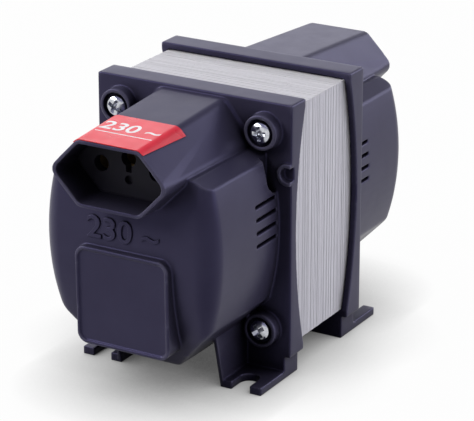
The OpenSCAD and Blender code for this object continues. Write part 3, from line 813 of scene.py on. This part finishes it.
def dressInside():
    brass = speckled("contactBrass", (0.17, 0.115, 0.05), (0.25, 0.18, 0.08), 1.0, 0.55, 0.8, 0.004)
    face = speckled("socketPlastic", (0.006, 0.0055, 0.01), (0.009, 0.008, 0.015), 4, 0.55, gloss=0.16)
    pale = speckled("bobbinNylon", (0.68, 0.64, 0.54), (0.74, 0.71, 0.62), 2.0, 0.5)
    paper = speckled("insulatingPaper", (0.6, 0.44, 0.16), (0.7, 0.55, 0.24), 0.8, 0.7, depth=0.03)
    black = speckled("cutoutCase", (0.03, 0.03, 0.03), (0.05, 0.05, 0.05), 0.8, 0.5)
    steel = bpy.data.materials["zinc"]
    lineLead = speckled("lineLead", (0.35, 0.02, 0.02), (0.42, 0.03, 0.03), 1.0, 0.4)
    neutralLead = speckled("neutralLead", (0.02, 0.06, 0.3), (0.03, 0.08, 0.36), 1.0, 0.4)
    earthLead = speckled("earthLead", (0.04, 0.25, 0.03), (0.06, 0.3, 0.04), 1.0, 0.4)
    for end in ("front", "rear"):
        dress(end + "_socket_insert", face)
        dress(end + "_contact_carrier", pale)
        dress(end + "_carrier_screws", steel)
        dress(end + "_line_lead", lineLead)
        for pole in ("line", "neutral", "earth"):
            dress(end + "_" + pole + "_contact", brass)
    for name, material in (("bobbin", pale), ("winding_barrier", paper), ("outer_wrap", paper),
                           ("thermal_cutout", black), ("neutral_lead", neutralLead), ("earth_lead", earthLead)):
        dress(name, material)
    print("inside: dressed")


# floor, light and camera

studio = {
    "floorSize": 8.0,
    "floorTone": (0.4, 0.4, 0.4),
    "floorGlow": 0.98,      # share of plain white that the eye sees in the floor
    "contact": 0.03,        # reach of the soft shade under the feet
    "ambient": 0.11,
    "backdrop": (0.34, 0.66),           # the white backdrop dims from one height to another
    "upper": (0.3, 0.3, 0.46),
    "lamps": (              # place, width, height, watts, colour
        ((-0.82, -0.5, 0.7), 1.5, 0.5, 17.5, (1, 1, 1)),            # key from the left
        ((0.92, 0.98, 0.42), 2.2, 0.76, 15.0, (0.86, 0.86, 1)),     # wide and low behind the right side
        ((-0.69, 1.18, 0.36), 0.5, 0.25, 0.4, (0.7, 0.7, 1)),       # faint one behind the left side
        ((-0.74, 0.98, 0.76), 0.25, 0.25, 0.35, (1, 1, 1)),         # shine on the sticker
        ((0.95, 0.2, 1.15), 1.2, 1.2, 7.5, (1, 1, 1)),              # high on the right
    ),
}
shot = {
    "azimuth": math.radians(30.382),
    "elevation": math.radians(20.524),
    "target": Vector((2.07, 0.03, 42.35)) * mm,
    "distance": 790.6 * mm,
    "focal": 2518.75,       # in pixels of a frame 474 wide
    "frameWidth": 474,
    "nearest": 0.05,
}


def seenShare(tree, share=1.0):  # share where the eye, a gloss or a clear piece looks, else 0
    path = addNode(tree, "LightPath")
    total = path.outputs["Is Camera Ray"]
    for ray in ("Is Glossy Ray", "Is Transmission Ray"):
        either = addNode(tree, "Math", operation="MAXIMUM")
        tree.links.new(total, either.inputs[0])
        tree.links.new(path.outputs[ray], either.inputs[1])
        total = either.outputs["Value"]
    part = addNode(tree, "Math", {1: share}, operation="MULTIPLY")
    tree.links.new(total, part.inputs[0])
    return part.outputs["Value"]


def mixShaders(tree, share, first, second, output):
    mix = addNode(tree, "MixShader")
    tree.links.new(share, mix.inputs["Fac"])
    tree.links.new(first, mix.inputs[1])
    tree.links.new(second, mix.inputs[2])
    tree.links.new(mix.outputs["Shader"], output)


def buildFloor():
    bm = bmesh.new()
    bmesh.ops.create_grid(bm, x_segments=1, y_segments=1, size=studio["floorSize"] / 2)
    floor = meshOf("floor", bm)
    material = bpy.data.materials.new("paleFloor")
    material.use_nodes = True
    tree = material.node_tree
    tree.nodes.remove(tree.nodes["Principled BSDF"])
    matte = addNode(tree, "BsdfDiffuse", {"Color": (*studio["floorTone"], 1)})
    glow = addNode(tree, "Emission", {"Strength": 1.0})
    output = tree.nodes["Material Output"].inputs["Surface"]
    # painted contact shadow: the floor's glow darkens near the object
    corner = addNode(tree, "AmbientOcclusion", {"Distance": studio["contact"]})
    tree.links.new(corner.outputs["Color"], glow.inputs["Color"])
    share = seenShare(tree, studio["floorGlow"])
    mixShaders(tree, share, matte.outputs["BSDF"], glow.outputs["Emission"], output)
    floor.data.materials.append(material)


def buildLight():
    world = bpy.data.worlds.new("studio")
    bpy.context.scene.world = world
    world.use_nodes = True
    tree = world.node_tree
    tree.nodes.remove(tree.nodes["Background"])
    soft = addNode(tree, "Background", {"Color": (1, 1, 1, 1), "Strength": studio["ambient"]})
    white = addNode(tree, "Background", {"Strength": 1.0})
    where, parts = addNode(tree, "TexCoord"), addNode(tree, "SeparateXYZ")
    tree.links.new(where.outputs["Generated"], parts.inputs["Vector"])
    height = spread(tree, parts.outputs["Z"], 0, 1, *studio["backdrop"])
    tone = blendColours(tree, height, (1.0, 1.0, 1.0), studio["upper"])
    tree.links.new(tone, white.inputs["Color"])
    output = tree.nodes["World Output"].inputs["Surface"]
    mixShaders(tree, seenShare(tree), soft.outputs["Background"], white.outputs["Background"], output)
    for k, (spot, width, height, watts, colour) in enumerate(studio["lamps"]):
        light = bpy.data.lights.new("lamp%d" % k, "AREA")
        light.shape = "RECTANGLE"
        light.size, light.size_y = width, height
        light.energy, light.color = watts, colour
        lamp = linked("lamp%d" % k, light)
        lamp.location = spot
        lamp.rotation_euler = (shot["target"] - Vector(spot)).to_track_quat("-Z", "Y").to_euler()


def buildCamera():
    camera = bpy.data.cameras.new("camera")
    camera.sensor_fit = "HORIZONTAL"
    camera.lens = shot["focal"] * camera.sensor_width / shot["frameWidth"]
    camera.clip_start = shot["nearest"]
    obj = linked("camera", camera)
    a, e = shot["azimuth"], shot["elevation"]
    toward = Vector((math.sin(a) * math.cos(e), -math.cos(a) * math.cos(e), math.sin(e)))
    obj.location = shot["target"] + toward * shot["distance"]
    obj.rotation_euler = (-toward).to_track_quat("-Z", "Y").to_euler()
    bpy.context.scene.camera = obj


bpy.context.scene.view_settings.view_transform = "Standard"
buildCamera()
buildFloor()
buildLight()
plastic = buildCaps()
buildCore()
buildBolts()
buildMarks(plastic)
buildCoil()
dressInside()

print("scene: ready")
